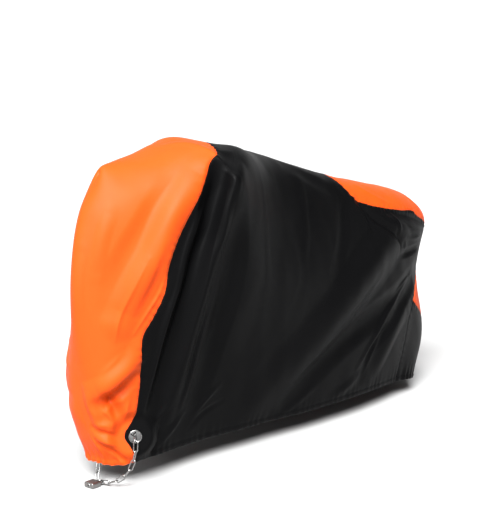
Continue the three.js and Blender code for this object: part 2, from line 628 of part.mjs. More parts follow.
function shackle() {
  const { height, bar, spread: between, reach, socket } = LOCK;
  const radius = between / 2;
  const mouth = LOCK_PLACE.x - height / 2;
  const arcCentre = mouth - reach + bar / 2 + radius;
  const { y, z } = LOCK_PLACE;
  const path = new THREE.CurvePath();
  const footLong = mouth + socket - 1;
  const footShort = mouth + socket - 9;
  path.add(new THREE.LineCurve3(new THREE.Vector3(footLong, y + radius, z), new THREE.Vector3(arcCentre, y + radius, z)));
  const arc = [];
  const arcSteps = 8;
  for (let i = 0; i <= arcSteps; i += 1) {
    const angle = Math.PI / 2 + (Math.PI * i) / arcSteps;
    arc.push(new THREE.Vector3(arcCentre + radius * Math.cos(angle), y + radius * Math.sin(angle), z));
  }
  for (let i = 0; i < arcSteps; i += 1) path.add(new THREE.LineCurve3(arc[i], arc[i + 1]));
  path.add(new THREE.LineCurve3(new THREE.Vector3(arcCentre, y - radius, z), new THREE.Vector3(footShort, y - radius, z)));
  const section = new THREE.Shape();
  section.absarc(0, 0, bar / 2, 0, 2 * Math.PI);
  return new THREE.ExtrudeGeometry(section, { steps: 40, extrudePath: path, curveSegments: 5, bevelEnabled: false });
}

addMesh('padlock_body', lockBody(), brushed);
addMesh('padlock_shackle', shackle(), plated);

cover.position.z = -CARRIER_HEIGHT;

export default cover;
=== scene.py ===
"""Looks of a motorcycle cover: cloth panels with seams, stitches and hem, a lock chain and a padlock."""

import math

import bpy
import numpy as np
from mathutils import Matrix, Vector


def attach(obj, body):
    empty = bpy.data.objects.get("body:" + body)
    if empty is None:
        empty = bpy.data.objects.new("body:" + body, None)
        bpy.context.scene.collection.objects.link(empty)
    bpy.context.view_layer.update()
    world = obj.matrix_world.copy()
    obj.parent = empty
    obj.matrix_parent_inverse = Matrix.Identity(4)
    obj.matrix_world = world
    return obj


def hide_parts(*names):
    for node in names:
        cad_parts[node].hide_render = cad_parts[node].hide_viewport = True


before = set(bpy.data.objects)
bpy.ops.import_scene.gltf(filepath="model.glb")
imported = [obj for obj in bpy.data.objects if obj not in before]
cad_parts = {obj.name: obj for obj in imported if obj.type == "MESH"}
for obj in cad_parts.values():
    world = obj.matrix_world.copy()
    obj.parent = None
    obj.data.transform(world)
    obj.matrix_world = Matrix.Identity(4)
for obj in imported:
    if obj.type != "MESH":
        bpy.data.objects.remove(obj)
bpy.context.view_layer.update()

MM = 0.001
TINY = 1e-12
CARRIER_HEIGHT = 1104.4  # of the row frame's origin above the floor, mm
FLOOR = -CARRIER_HEIGHT * MM
BODY = "cover"

# Camera, with its place in metres from the row frame's origin
PHOTO_WIDTH, PHOTO_HEIGHT = 491, 508
FOCAL_PIXELS = 1147.0
SENSOR_WIDTH = 36.0
CAMERA_PLACE = Vector((3.42, 2.86, 1.43 + FLOOR))
CAMERA_AZIMUTH = math.radians(50)
CAMERA_PITCH = math.radians(9.21)


def make_camera():
    data = bpy.data.cameras.new("camera")
    data.sensor_width = SENSOR_WIDTH
    data.lens = FOCAL_PIXELS / max(PHOTO_WIDTH, PHOTO_HEIGHT) * data.sensor_width
    camera = bpy.data.objects.new("camera", data)
    bpy.context.scene.collection.objects.link(camera)
    level = math.cos(CAMERA_PITCH)
    x, y = -math.sin(CAMERA_AZIMUTH) * level, -math.cos(CAMERA_AZIMUTH) * level
    look = Vector((x, y, -math.sin(CAMERA_PITCH)))
    camera.location = CAMERA_PLACE
    camera.rotation_mode = "QUATERNION"
    camera.rotation_quaternion = look.to_track_quat("-Z", "Y")
    bpy.context.scene.camera = camera



# Shape of the cover: a row for each station round the left side, from the front centre to the rear centre.
# Each has its top as x and height, then shoulder, hip, knee and hem as x, y and height. They are in mm, with
# x and y from the row frame's origin and the height above the floor.
SECTIONS = [
    ("front centre", (777, 1078), (872, 0, 945), (915, 0, 740), (892, 0, 380), (837, 0, 72)),
    ("front quarter", (760, 1105), (812, 93, 970), (840, 112, 725), (868, 90, 350), (820, 68, 66)),
    ("fairing", (650, 1126), (640, 185, 1049), (718, 195, 730), (785, 138, 355), (755, 114, 76)),
    ("ahead of bars", (520, 1167), (500, 258, 1113), (590, 262, 760), (650, 168, 360), (660, 126, 84)),
    ("bar end", (430, 1184), (447, 332, 1083), (470, 300, 780), (520, 190, 380), (530, 133, 86)),
    ("behind bars", (280, 1142), (285, 251, 1111), (330, 300, 730), (380, 210, 380), (380, 148, 86)),
    ("tank", (50, 1118), (50, 169, 1038), (80, 280, 680), (120, 245, 380), (140, 182, 85)),
    ("seat front", (-250, 1039), (-250, 149, 981), (-220, 270, 640), (-180, 262, 360), (-150, 227, 84)),
    ("seat rear", (-550, 973), (-550, 154, 909), (-520, 260, 600), (-480, 270, 340), (-450, 250, 84)),
    ("tail", (-850, 921), (-846, 175, 835), (-800, 228, 560), (-780, 246, 320), (-722, 234, 77)),
    ("rear corner", (-1060, 866), (-1128, 116, 757), (-998, 160, 535), (-1027, 181, 255), (-908, 213, 58)),
    ("rear centre", (-1110, 857), (-1205, 0, 740), (-1124, 0, 540), (-1180, 0, 250), (-1040, 0, 55)),
]
SIDE = len(SECTIONS) - 1
ROUND = 2 * SIDE
LEVELS = 5  # top, shoulder, hip, knee and hem
HEM_DROP = LEVELS - 1.0

# The right side hangs a little lower and closer: shifts in mm of its mirrored points, by station and level
RIGHT_SHIFTS = {
    1: {1: (-23, 31, 4), 2: (-40, 38, 0), 3: (0, 15, 0), 4: (0, 8, 0)},
    2: {1: (0, 57, -20), 2: (-26, 30, 0), 3: (14, -22, 0)},
    3: {1: (-19, 110, -73), 2: (-5, 28, 0)},
    4: {1: (-29, 120, -57), 2: (-1, 20, 0)},
    5: {1: (-10, 54, -40)},
}

# Seams, as station and drop: drop is 0 on the top line, 1 at the shoulder and 4 at the hem
FRONT_SEAM = [
    (4.9, 0), (4.55, 0.3), (4.05, 0.6), (3.4, 0.82), (2.97, 1.0), (2.83, 1.14), (2.68, 1.34),
    (2.47, 1.53), (2.33, 1.71), (2.28, 1.92), (2.33, 2.15), (2.21, 2.35), (2.05, 2.53),
    (2.19, 2.76), (2.3, 3.01), (2.26, 3.29), (2.08, 3.44), (1.79, 3.6), (2.02, 3.8), (2.17, 4),
]
TOP_LINE = [(4.9, 0), (7.57, 0)]
TAIL_EDGE = [
    (7.57, 0), (7.54, 0.5), (7.69, 0.96), (7.82, 1.11), (8.04, 1.16), (8.36, 1.16), (8.92, 1.11),
    (9.32, 1.03), (9.5, 1.1), (9.85, 1.13), (10.12, 1.22),
]
TAIL_STRIP = [(10.12, 1.22), (10.2, 1.6), (10.12, 1.95), (9.93, 2.13), (9.6, 2.3), (9.38, 2.53)]
REAR_EDGE = [(9.38, 2.53), (9.13, 2.9), (9.08, 3.28), (9.06, 3.6), (9.04, 4)]
REAR_DIP = [(9.38, 2.53), (9.6, 2.62), (9.85, 2.7), (10.3, 2.86), (11, 2.98)]

# The eyelet in the left side panel: its station and drop, and in mm the radius of the hole cut for it, of the
# flat patch round it and of the patch's blend into the folds
EYELET = {"station": 2.18, "drop": 3.63, "cut": 20, "flat": 54, "blend": 100}
EYELET_FACING = np.array(Vector((0.6, 0.78, 0.12)).normalized())


def section_points():
    """Control points by station and level, with a level beyond the top line and one below the hem."""
    rows = np.zeros((ROUND, LEVELS, 3))
    for i, (_, top, *levels) in enumerate(SECTIONS):
        rows[i] = [(top[0], 0, top[1]), *levels]
        if i in (0, SIDE):
            continue
        rows[ROUND - i] = rows[i] * (1, -1, 1)
        for level, shift in RIGHT_SHIFTS.get(i, {}).items():
            rows[ROUND - i, level] += shift
    opposite = (ROUND - np.arange(ROUND)) % ROUND
    beyond = rows[opposite][:, 1:2]
    below = 2 * rows[:, -1:] - rows[:, -2:-1]
    points = np.concatenate([beyond, rows, below], axis=1)
    points[..., 2] -= CARRIER_HEIGHT
    return points * MM


CONTROL = section_points()


def catmull_rom(a, b, c, d, t):
    return (
        a * (-0.5 * t**3 + t**2 - 0.5 * t)
        + b * (1.5 * t**3 - 2.5 * t**2 + 1)
        + c * (-1.5 * t**3 + 2 * t**2 + 0.5 * t)
        + d * (0.5 * t**3 - 0.5 * t**2)
    )


def base_points(station, drop):
    """Points of the smooth surface, without folds, at arrays of station and drop."""
    row = np.floor(station).astype(int)
    level = np.clip(np.floor(drop).astype(int), 0, LEVELS - 2)
    across = (station - row)[..., None]
    down = (drop - level)[..., None]
    at = [
        catmull_rom(*[CONTROL[(row + n) % ROUND, level + m] for n in (-1, 0, 1, 2)], across)
        for m in (0, 1, 2, 3)
    ]
    return catmull_rom(*at, down)


def unit(vectors):
    return vectors / np.maximum(np.linalg.norm(vectors, axis=-1, keepdims=True), TINY)


NORMAL_STEP = 0.02  # in stations and drops
NORMAL_TOP = 0.06  # the least drop at which a normal is taken


def base_normals(station, drop):
    inner = np.maximum(drop, NORMAL_TOP)
    down = base_points(station, inner + NORMAL_STEP) - base_points(station, inner - NORMAL_STEP)
    around = base_points(station + NORMAL_STEP, inner) - base_points(station - NORMAL_STEP, inner)
    return unit(np.cross(down, around))


def surface(line):
    """Points of the smooth surface along a line of station and drop."""
    return base_points(line[:, 0], line[:, 1])


def surface_normals(line):
    return base_normals(line[:, 0], line[:, 1])


def smooth_path(corners, per_span):
    """A soft curve through corners, with so many points from one corner to the next."""
    corners = np.array(corners, float)
    ends = np.concatenate([2 * corners[:1] - corners[1:2], corners, 2 * corners[-1:] - corners[-2:-1]])
    steps = np.linspace(0, 1, per_span, endpoint=False)[:, None]
    spans = [catmull_rom(*ends[i:i + 4], steps) for i in range(len(corners) - 1)]
    return np.concatenate([*spans, corners[-1:]])


# Folds of the cloth: a path over the surface as station and drop, the reach to each side and the lift out of
# the surface, both in mm, and the shape of the crest, where 2 is a round fold and 1 a sharp one
FOLDS = [
    ("valley from the bar end", [
        (3.94, 0.75), (3.3, 1.02), (3.01, 1.34), (3.01, 1.63), (2.91, 1.84), (2.88, 2.36),
        (2.83, 3.03), (2.7, 3.5)
    ], 58, -36, 2),
    ("ridge from the bar end", [
        (3.54, 1.1), (3.44, 1.44), (3.44, 1.69), (3.39, 2.19), (3.44, 2.74), (3.44, 2.98), (3.3, 3.45)
    ], 38, 18, 2),
    ("ridge beside the front seam", [
        (2.75, 1.5), (2.66, 1.8), (2.66, 2.12), (2.56, 2.4), (2.61, 2.9), (2.45, 3.25)
    ], 24, 9, 2),
    ("second valley", [(3.95, 1.3), (4.15, 1.8), (4.27, 2.4), (4.3, 2.98), (4.0, 3.5)], 66, -19, 2),
    ("broad ridge ahead of the tank", [(4.6, 1.1), (4.8, 1.8), (4.95, 2.5), (5.05, 3.3)], 90, 5, 2),
    ("faint valley at the tank", [(5.5, 1.3), (5.63, 2.28), (5.89, 3.04), (5.71, 3.4)], 70, -4, 2),
    ("crease under the tail", [(7.85, 1.14), (8.16, 1.33), (8.53, 1.48), (8.86, 1.6)], 30, -15, 2),
    ("lobe under the tail", [(8.3, 1.25), (8.66, 1.35), (9.1, 1.42), (9.6, 1.45)], 40, 11, 2),
    ("tuck below the tail seam", [(8.5, 1.21), (8.99, 1.16), (9.47, 1.16), (9.8, 1.2)], 24, -8, 2),
    ("tuck at the waist", [(8.7, 1.76), (9.1, 1.7), (9.7, 1.58)], 26, -10, 2),
    ("crease below the tail edge", [(7.85, 1.12), (7.97, 1.3), (8.02, 1.5)], 24, -8, 2),
    ("upright crease ahead of the tail", [(7.52, 1.03), (7.3, 1.5), (6.95, 2.0)], 48, -8, 2),
    ("sag under the seat", [(6.4, 0.7), (6.89, 0.94), (7.35, 1.05)], 45, -6, 2),
    ("diagonal ridge", [
        (8.6, 1.4), (8.38, 1.5), (7.5, 1.99), (6.94, 2.45), (6.34, 3.03), (5.81, 3.45)
    ], 125, 34, 2),
    ("diagonal valley", [
        (9.6, 1.95), (9.0, 2.18), (8.51, 2.41), (7.73, 2.75), (7.12, 3.09), (6.67, 3.43), (6.4, 3.7)
    ], 74, -19, 2),
    ("narrow ridge in the valley", [
        (9.3, 2.05), (8.95, 2.22), (8.61, 2.5), (8.28, 2.81), (7.98, 3.18), (7.75, 3.5)
    ], 24, 8, 1.3),
    ("narrow valley below it", [
        (9.35, 2.2), (8.76, 2.6), (8.41, 2.91), (8.03, 3.26), (7.85, 3.7)
    ], 34, -9, 2),
    ("ridge at the rear corner", [(9.0, 2.6), (8.62, 2.9), (8.35, 3.3), (8.1, 3.7)], 55, 11, 2),
    ("light band of the hood", [
        (2.73, 0.95), (2.3, 1.15), (1.98, 1.36), (1.79, 1.7), (1.5, 2.0), (1.22, 2.3)
    ], 74, 30, 2),
    ("dark band of the hood", [
        (2.04, 0.87), (1.63, 1.24), (1.39, 1.48), (1.11, 1.8), (0.95, 2.2)
    ], 56, -9, 2),
    ("roll over the tucked front", [(2.0, 2.56), (1.73, 2.72), (1.25, 2.84), (0.7, 2.96)], 50, 21, 2),
    ("tuck under the roll", [(2.0, 2.86), (1.6, 2.98), (1.2, 3.05), (0.8, 3.13)], 36, -27, 2),
    ("shade beside the tuck", [(1.1, 3.02), (1.5, 3.16), (1.72, 3.4)], 32, -19, 2),
    ("upright ridge at the nose", [(0.35, 3.0), (0.5, 3.2), (0.73, 3.42)], 28, 10, 2),
    ("upright ridge right of the nose", [(21.4, 1.5), (21.3, 2.3), (21.35, 3.1)], 70, 10, 2),
    ("crest above the gathers", [(0.6, 3.4), (0.95, 3.38), (1.3, 3.4)], 20, 8, 1.3),
    ("gather to the eyelet", [(0.43, 3.48), (1.29, 3.53), (2.0, 3.74)], 18, -13, 2),
    ("ridge below that gather", [(0.5, 3.58), (1.3, 3.65), (1.98, 3.84)], 16, 10, 1.5),
    ("gather at the hem", [(0.6, 3.68), (1.31, 3.79), (1.88, 3.97)], 16, -12, 2),
    ("far valley from the bar end", [(18.7, 1.0), (19.0, 1.6), (18.9, 2.3), (19.2, 3.2)], 52, -14, 2),
    ("far ridge from the bar end", [(18.2, 1.15), (18.2, 1.9), (18.1, 2.7), (18.4, 3.5)], 56, 13, 2),
    ("far valley at the tank", [(17.5, 1.2), (17.1, 2.0), (16.9, 2.8), (17.1, 3.6)], 70, -11, 2),
    ("far diagonal valley", [(12.5, 1.75), (13.2, 2.15), (13.9, 2.6), (14.7, 3.2)], 75, -18, 2),
    ("far diagonal ridge", [(12.9, 1.6), (13.8, 1.95), (14.7, 2.4), (15.6, 3.1)], 95, 14, 2),
    ("far light band of the hood", [(19.3, 0.95), (19.9, 1.4), (20.3, 1.9), (20.6, 2.5)], 70, 11, 2),
    ("far tuck at the front", [(20.2, 3.0), (20.7, 3.12), (21.1, 3.12)], 50, -14, 2),
    ("valley down the rear", [(10.6, 1.7), (10.5, 2.4), (10.7, 3.3)], 60, -12, 2),
]

# Fine creases, as above without names
CREASES = [
    # Side, from the front seam back
    ([(3.44, 1.3), (3.4, 1.69), (3.36, 2.1), (3.36, 2.48), (3.42, 2.9)], 15, 5, 1),
    ([(2.9, 1.2), (2.8, 1.6), (2.76, 2.0), (2.74, 2.3)], 14, 3, 1.3),
    ([(3.7, 0.95), (3.85, 1.1), (3.8, 1.35)], 26, 3, 2),
    ([(4.05, 0.68), (4.3, 0.76), (4.5, 0.95)], 30, -4, 2),
    ([(3.66, 1.6), (3.7, 2.1), (3.72, 2.6)], 20, 3.5, 1.5),
    ([(3.85, 2.5), (3.9, 3.0), (3.75, 3.4)], 18, 4, 1.5),
    ([(4.32, 3.57), (4.62, 3.41), (4.98, 3.27)], 20, 6, 1.5),
    ([(4.2, 3.75), (4.6, 3.6), (5.1, 3.5)], 16, -4, 2),
    ([(3.1, 3.83), (3.49, 3.68), (3.87, 3.51)], 20, 6, 1.5),
    ([(2.75, 3.6), (3.0, 3.45), (3.3, 3.3)], 18, 5, 1.5),
    ([(5.3, 1.2), (5.35, 1.7), (5.5, 2.2)], 26, 1.5, 2),
    ([(6.2, 1.5), (6.25, 2.0), (6.1, 2.5)], 36, -1.5, 2),
    ([(6.6, 0.95), (6.5, 1.4), (6.3, 1.9)], 30, 3, 2),
    ([(7.3, 3.85), (7.55, 3.75), (7.78, 3.63)], 34, 7, 1.5),
    ([(6.9, 3.6), (6.6, 3.8), (6.3, 3.95)], 24, 5, 1.5),
    ([(8.55, 1.18), (8.66, 1.32), (8.7, 1.48)], 22, 6, 1.3),
    ([(8.9, 1.5), (9.25, 1.5), (9.6, 1.42)], 20, 5, 1.3),
    ([(9.15, 2.1), (8.9, 2.2), (8.6, 2.4)], 14, 4, 1),
    ([(8.05, 2.05), (7.6, 2.4), (7.2, 2.75)], 24, 4, 1.5),
    ([(8.3, 3.0), (8.1, 3.3), (7.95, 3.6)], 16, 5, 1.2),
    # Hood
    ([(1.72, 1.75), (1.5, 2.02), (1.28, 2.3), (1.25, 2.5)], 18, 6, 1),
    ([(2.22, 1.95), (2.16, 2.12), (1.98, 2.28), (1.76, 2.46)], 16, 6, 1),
    ([(2.1, 1.7), (1.95, 2.0), (1.7, 2.3)], 20, -4, 2),
    ([(1.55, 2.62), (1.2, 2.72), (0.9, 2.8)], 18, 4, 1.2),
    ([(0.95, 0.95), (0.75, 1.4), (0.65, 1.9)], 34, 5, 2),
    ([(0.3, 1.5), (0.25, 2.2), (0.24, 2.7)], 30, 4, 2),
    ([(2.6, 0.3), (2.9, 0.5), (3.1, 0.75)], 30, 4, 2),
    ([(2.0, 3.1), (1.9, 3.25), (1.85, 3.45)], 18, 5, 1.3),
    ([(0.2, 3.6), (0.5, 3.75), (0.8, 3.97)], 14, 5, 1.3),
    ([(1.0, 3.72), (1.3, 3.85), (1.6, 3.98)], 12, 4, 1.3),
    ([(0.85, 3.2), (1.15, 3.25), (1.5, 3.35)], 16, 5, 1.3),
    # Tail
    ([(9.4, 0.2), (9.6, 0.6), (9.7, 1.0)], 40, 4, 2),
    ([(10.4, 0.5), (10.3, 0.9), (10.2, 1.15)], 34, -5, 2),
    ([(8.0, 0.75), (8.3, 0.95), (8.8, 1.05)], 26, 4, 1.5),
    # Right side and rear
    ([(18.5, 1.4), (18.45, 2.0), (18.5, 2.7)], 18, 5, 1.2),
    ([(16.2, 1.6), (16.3, 2.3), (16.1, 3.0)], 36, 4, 2),
    ([(14.2, 1.2), (14.5, 1.7), (14.9, 2.1)], 40, -6, 2),
    ([(13.1, 2.4), (13.6, 2.8), (14.0, 3.3)], 22, 8, 1.2),
    ([(17.6, 3.6), (17.2, 3.45), (16.8, 3.4)], 20, 5, 1.5),
    ([(20.5, 2.6), (20.9, 2.75), (21.3, 2.8)], 30, 8, 1.5),
    ([(11.3, 3.1), (11.2, 3.5), (11.4, 3.9)], 22, 6, 1.5),
    ([(10.3, 3.1), (10.5, 3.5), (10.4, 3.9)], 20, 5, 1.5),
]

# Shape of the hem at the front, as the folds above
HEM_FOLDS = [
    ("hem drawn in at the nose", [
        (20.2, 3.9), (21, 3.96), (21.6, 3.98), (22.2, 3.96), (22.7, 3.96)
    ], 85, -12, 2),
    ("hem drawn in at the front", [(0.1, 3.98), (0.7, 3.99), (1.3, 3.99), (1.8, 3.99)], 130, -20, 2),
    ("bulge above the drawn hem", [(20.6, 3.3), (21.3, 3.35), (22, 3.35)], 70, 6, 2),
    ("hollow below the roll", [(1.9, 3.1), (1.25, 3.25), (0.6, 3.35)], 80, -17, 2),
]

# A fold looks brightest or darkest beside its crest, on the slope that faces or turns from the light. The
# paths of the folds and creases lie there, and this share of the reach leads from them to the crest. The
# paths of the hem's folds are their crests.
FOLD_LIGHT = np.array([0.55, 0.3, 0.78])
TO_CREST = 0.4
FOLD_DETAIL = 5  # path points from one corner to the next
FOLD_ENDS = (0.06, 0.94)  # shares of the path between which a fold swells and fades
FADE_POWER = 0.7


def fold_line(corners):
    """A fold's path over the smooth surface, as places and as normals."""
    line = smooth_path(corners, FOLD_DETAIL)
    return surface(line), surface_normals(line)


def crest_path(corners, reach):
    path, normals = fold_line(corners)
    facing = FOLD_LIGHT - (normals @ FOLD_LIGHT)[:, None] * normals
    return path - unit(facing) * TO_CREST * reach * MM


def all_folds():
    """Crest path, reach, lift and crest shape of each fold, crease and hem fold."""
    for corners, reach, lift, crest in [fold[1:] for fold in FOLDS] + CREASES:
        yield crest_path(corners, reach), reach, lift, crest
    for _, corners, reach, lift, crest in HEM_FOLDS:
        yield fold_line(corners)[0], reach, lift, crest


# Loose ripples and flat facets with soft creases between them: directions are seeded, so the cloth is
# the same each time. Lengths, heights and the facets' warp are in metres.
RIPPLES = {"count": 24, "lengths": (0.09, 0.26), "height": 0.0005, "seed": 11}
FACETS = {"count": 5, "lengths": (0.3, 0.62), "height": 0.0026, "seed": 5, "warp": 0.05}
WAVE_SLANT = 0.7  # largest vertical part of a wave's direction
BEND_SHARE = 0.6  # of a facet wave's frequency, for the wave that bends it
CREASE_SHARPNESS = 0.985  # 1 would leave a sharp edge between two facets


def seeded_waves(plan):
    """Directions and phases of waves that run rather round the cloth than down it."""
    seeded = np.random.default_rng(plan["seed"])
    for _ in range(plan["count"]):
        length = seeded.uniform(*plan["lengths"])
        turn = seeded.uniform(0, 2 * np.pi)
        vertical = seeded.uniform(-WAVE_SLANT, WAVE_SLANT)
        wave = np.array([np.cos(turn), np.sin(turn), vertical]) * 2 * np.pi / length
        yield wave, seeded.uniform(0, 2 * np.pi)


def ripple_heights(points):
    waves = [np.sin(points @ wave + phase) for wave, phase in seeded_waves(RIPPLES)]
    return sum(waves) * RIPPLES["height"] / math.sqrt(RIPPLES["count"] / 2)


def facet_heights(points):
    """Triangle waves, bent by slower ones, which leave flat fields with creases between them."""
    height = np.zeros(len(points))
    for wave, phase in seeded_waves(FACETS):
        slower = np.sin(points @ np.roll(wave, 1) * BEND_SHARE + 2 * phase)
        bend = slower * FACETS["warp"] * np.linalg.norm(wave)
        height += np.arcsin(CREASE_SHARPNESS * np.sin(points @ wave + phase + bend)) * 2 / np.pi
    return height * FACETS["height"] / math.sqrt(FACETS["count"])


def near_path(points, path, reach):
    """Which points lie in the box of a path, widened by a reach."""
    return np.flatnonzero(((points > path.min(0) - reach) & (points < path.max(0) + reach)).all(1))


def nearest_on_path(points, path):
    """Distance of each point to a path, and the share of the path's steps passed at its closest point."""
    best = np.full(len(points), np.inf)
    along = np.zeros(len(points))
    count = len(path) - 1
    for i in range(count):
        start, step = path[i], path[i + 1] - path[i]
        share = np.clip((points - start) @ step / max(step @ step, TINY), 0, 1)
        distance = np.linalg.norm(points - start - share[:, None] * step, axis=1)
        closer = distance < best
        best[closer] = distance[closer]
        along[closer] = (i + share[closer]) / count
    return best, along


def fold_heights(points):
    """How far ripples, facets and folds lift each point out of the smooth surface, in metres."""
    height = ripple_heights(points) + facet_heights(points)
    for path, reach, lift, crest in all_folds():
        wide = reach * MM
        near = near_path(points, path, wide)
        if not len(near):
            continue
        distance, along = nearest_on_path(points[near], path)
        across = np.clip(1 - np.clip(distance / wide, 0, 1) ** crest, 0, 1) ** 2
        ends = np.sin(np.pi * np.clip(along, *FOLD_ENDS)) ** FADE_POWER
        height[near] += lift * MM * across * ends
    return height


EYELET_CENTRE = base_points(np.array([EYELET["station"]]), np.array([EYELET["drop"]]))[0]


def smoothstep(low, high, value):
    t = np.clip((value - low) / (high - low), 0, 1)
    return t * t * (3 - 2 * t)


def flatten_at_eyelet(points):
    away = points - EYELET_CENTRE
    off = away @ EYELET_FACING
    in_plane = np.linalg.norm(away - off[:, None] * EYELET_FACING, axis=1)
    keep = smoothstep(EYELET["flat"] * MM, EYELET["blend"] * MM, in_plane)
    keep[np.abs(off) > EYELET["flat"] * MM] = 1
    return points - ((1 - keep) * off)[:, None] * EYELET_FACING


# Sewn edges, in mm: a seam draws the cloth in and puckers it, and a hem is turned in and stitched
SEAMS = [FRONT_SEAM, TOP_LINE, TAIL_EDGE, TAIL_STRIP, REAR_EDGE, REAR_DIP]
SEAM = {"draw": 1.6, "draw_width": 5, "pucker": 1.5, "pucker_width": 20, "wave": 31, "step": 10}
SEAM_DETAIL = 8  # path points from one corner to the next
PUCKER_REACH = 2.2  # pucker widths from the seam to where the puckers end
HEM = {"band": 20, "puff": 1.4, "groove": 1.2, "groove_width": 3, "wave": 34, "loose": 1.0, "elastic": 3.2}
HEM_REACH = 75
HEM_FADE = 1.6  # how fast the hem's waves fade over that reach
HEM_ZONE = 3.4  # the drop below which the hem's waves are worked out
ELASTIC_STATIONS = (2.6, 8.8)  # the hem is elastic ahead of the first and behind the second

# Waves along a sewn edge: a slower wave shifts them, and another swells them beyond their middle height
UNEVEN = {"shift": 1.3, "shift_length": 4.3, "middle": 0.65, "swell": 0.35, "swell_length": 7.1}


def by_length(line, count):
    """A line of station and drop resampled to equal steps over the surface."""
    steps = np.linalg.norm(np.diff(surface(line), axis=0), axis=1)
    at = np.concatenate([[0], np.cumsum(steps)])
    goal = np.linspace(0, at[-1], count)
    return np.stack([np.interp(goal, at, line[:, c]) for c in (0, 1)], -1)


def equal_steps(line, step):
    """A line of station and drop resampled to steps of about so many mm, and its length in metres."""
    length = np.linalg.norm(np.diff(surface(line), axis=0), axis=1).sum()
    return by_length(line, max(2, int(length / (step * MM)) + 1)), length


def mirrored_line(line):
    return np.stack([ROUND - line[:, 0], line[:, 1]], -1)


def uneven_wave(along, wave):
    """A wave along a sewn edge whose length and height change on the way."""
    turn = along / (wave * MM) * 2 * np.pi
    shifted = turn + UNEVEN["shift"] * np.sin(turn / UNEVEN["shift_length"])
    swell = UNEVEN["middle"] + UNEVEN["swell"] * np.sin(turn / UNEVEN["swell_length"] + 1)
    return np.sin(shifted) * swell


def seam_heights(points):
    height = np.zeros(len(points))
    reach = PUCKER_REACH * SEAM["pucker_width"] * MM
    for seam in SEAMS:
        left, length = equal_steps(smooth_path(seam, SEAM_DETAIL), SEAM["step"])
        for line in (left, mirrored_line(left)):
            path = base_points(line[:, 0] % ROUND, line[:, 1])
            near = near_path(points, path, reach)
            distance, along = nearest_on_path(points[near], path)
            distance /= MM
            pucker = SEAM["pucker"] * uneven_wave(along * length, SEAM["wave"])
            height[near] += pucker * np.exp(-(distance / SEAM["pucker_width"]) ** 2)
            height[near] -= SEAM["draw"] * np.exp(-(distance / SEAM["draw_width"]) ** 2)
    return height * MM


def hem_around():
    """Distance round the hem at each hundredth of a station, in metres."""
    station = np.linspace(0, ROUND, ROUND * 100 + 1)
    points = base_points(station % ROUND, np.full(len(station), HEM_DROP))
    steps = np.linalg.norm(np.diff(points, axis=0), axis=1)
    return station, np.concatenate([[0], np.cumsum(steps)])


HEM_AROUND = hem_around()


def hem_heights(station, drop, points):
    height = np.zeros(len(points))
    low = np.flatnonzero(drop > HEM_ZONE)
    edge = base_points(station[low], np.full(len(low), HEM_DROP))
    above = np.linalg.norm(points[low] - edge, axis=1) / MM
    at = station[low] % ROUND
    folded = np.minimum(at, ROUND - at)
    pulled = (folded < ELASTIC_STATIONS[0]) | (folded > ELASTIC_STATIONS[1])
    swing = np.where(pulled, HEM["elastic"], HEM["loose"])
    fade = np.exp(-(above / HEM_REACH * HEM_FADE) ** 2)
    wave = uneven_wave(np.interp(at, *HEM_AROUND), HEM["wave"]) * swing * fade
    puff = HEM["puff"] * np.sin(np.pi * np.clip(above / HEM["band"], 0, 1))
    groove = HEM["groove"] * np.exp(-((above - HEM["band"]) / HEM["groove_width"]) ** 2)
    height[low] = wave + puff - groove
    return height * MM


def cloth_points(station, drop):
    """The draped cloth at arrays of station and drop."""
    shape = station.shape
    station, drop = station.ravel(), drop.ravel()
    points = base_points(station, drop)
    normals = base_normals(station, drop)
    height = fold_heights(points) + seam_heights(points) + hem_heights(station, drop, points)
    return flatten_at_eyelet(points + normals * height[:, None]).reshape(*shape, 3)


# Grids of station and drop for the panels, and the soft curves that bound them
GRID_DETAIL = 16  # curve points from one corner to the next
FRONT_CURVE, EDGE_CURVE, STRIP_CURVE, REAR_CURVE, DIP_CURVE = (
    smooth_path(seam, GRID_DETAIL) for seam in (FRONT_SEAM, TAIL_EDGE, TAIL_STRIP, REAR_EDGE, REAR_DIP)
)


def coons(top, bottom, left, right):
    """A grid that fills the space between four edges."""
    u = np.linspace(0, 1, len(top))[None, :, None]
    v = np.linspace(0, 1, len(left))[:, None, None]
    ruled = top[None] * (1 - v) + bottom[None] * v
    across = left[:, None] * (1 - u) + right[:, None] * u
    corners = (top[0] * (1 - u) + top[-1] * u) * (1 - v) + (bottom[0] * (1 - u) + bottom[-1] * u) * v
    return ruled + across - corners


def straight(start, end, count):
    t = np.linspace(0, 1, count)[:, None]
    return np.array(start) * (1 - t) + np.array(end) * t


def front_grid(rows=270, columns=92):
    seam = by_length(FRONT_CURVE, rows)
    share = np.linspace(-1, 1, 2 * columns + 1)
    station = seam[:, :1] * share[None]
    drop = np.repeat(seam[:, 1:], len(share), axis=1)
    return np.stack([station, drop], -1)


def side_grid(rows=215, top_columns=225, edge_columns=190):
    edge = by_length(EDGE_CURVE, edge_columns + 1)
    top = np.concatenate([straight(*TOP_LINE, top_columns + 1), edge[1:]])
    rear = by_length(np.concatenate([STRIP_CURVE, REAR_CURVE[1:]]), rows)
    front = by_length(FRONT_CURVE, rows)
    hem = straight(front[-1], rear[-1], len(top))
    return coons(top, hem, front, rear)


